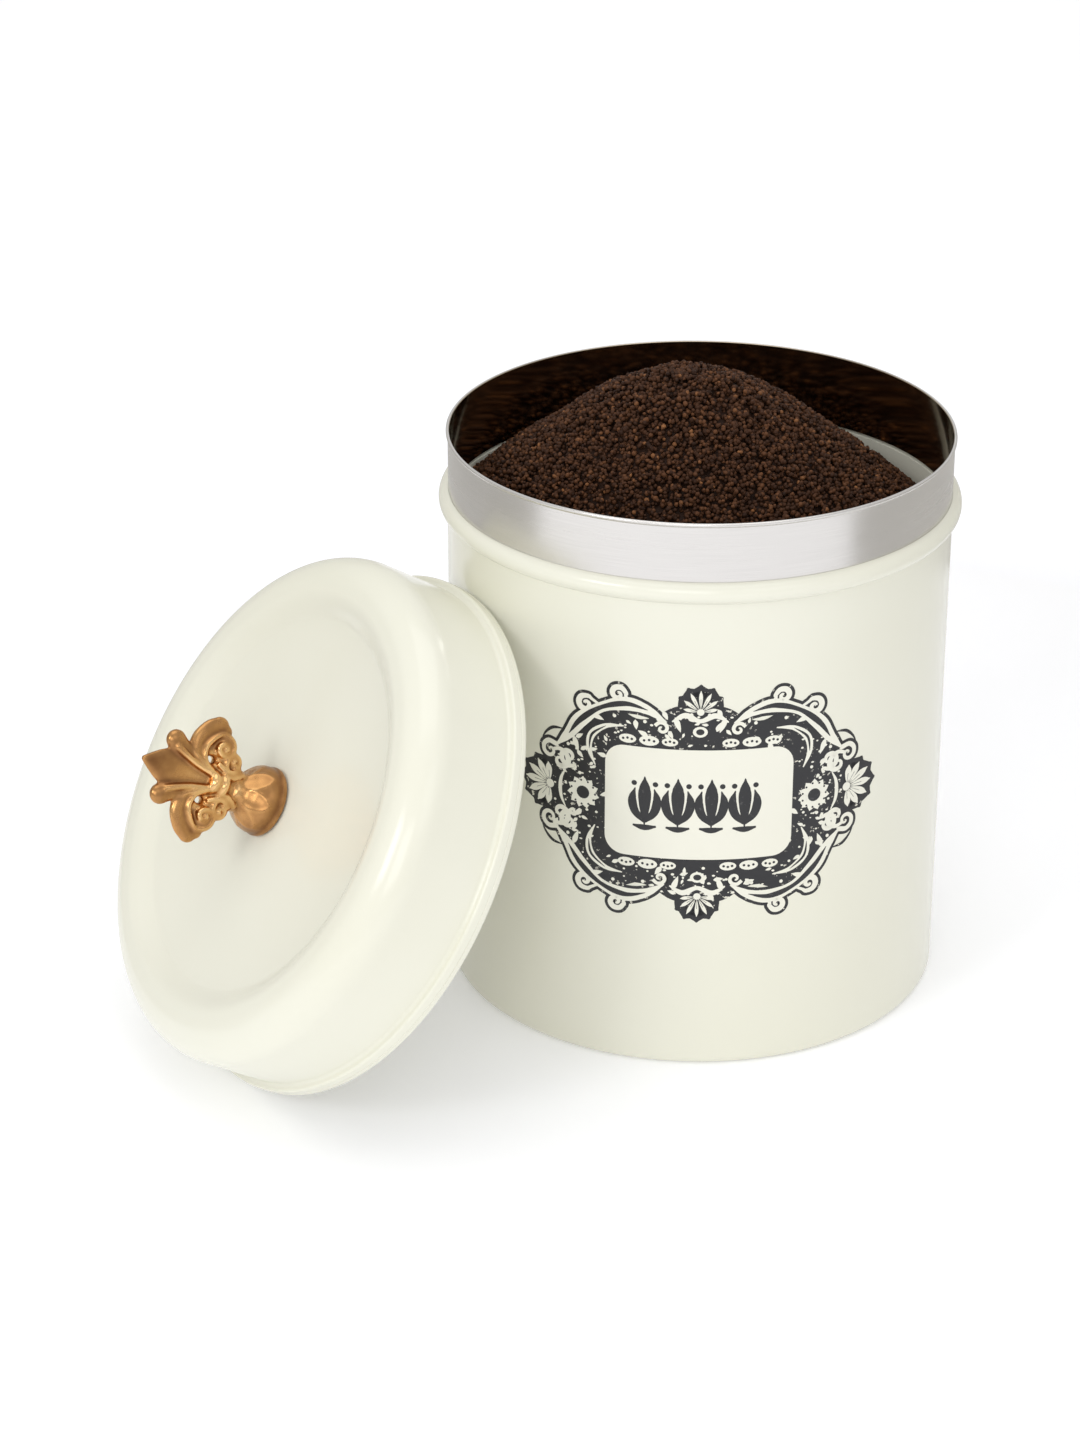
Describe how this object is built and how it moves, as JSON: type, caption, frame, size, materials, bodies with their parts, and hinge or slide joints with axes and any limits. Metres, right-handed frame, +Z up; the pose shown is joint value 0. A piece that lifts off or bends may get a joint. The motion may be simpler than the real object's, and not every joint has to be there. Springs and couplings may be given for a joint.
{
  "type": "coffee tin",
  "caption": "Round enamelled kitchen tin with a bright neck collar, and its domed push-on lid with a cast fleur-de-lis knob, standing against the tin.",
  "frame": {"origin": "centre of the tin's flat base, on the surface that it stands on", "axes": "+Z up along the tin's axis; the decorated front faces -Y; the lid stands at the tin's front left, towards -X and -Y"},
  "size_m": [0.2356, 0.1996, 0.162],
  "materials": {
    "cream_enamel": "smooth semi-gloss cream baked enamel on tinplate",
    "bright_steel": "satin outside, near mirror inside",
    "zinc_steel": "bright zinc plate",
    "gilt_bronze": "antique gilt on a zinc casting, darker in the hollows"
  },
  "bodies": {
    "canister": {"canister_wall": "cream_enamel", "base_pan": "cream_enamel", "neck_collar": "bright_steel"},
    "lid": {"lid_shell": "cream_enamel", "lid_washer": "zinc_steel"},
    "knob": {"knob_casting": "gilt_bronze", "knob_screw": "zinc_steel"}
  },
  "joints": [
    {"name": "lid_lift", "type": "slide", "parent": "canister", "child": "lid", "axis": [-0.7589, -0.3867, 0.524], "range_m": [0, 0.12]},
    {"name": "knob_turn", "type": "hinge", "parent": "lid", "child": "knob", "pos_m": [-0.11772, -0.06285, 0.07776], "axis": [-0.7589, -0.3867, 0.524], "continuous": true}
  ]
}
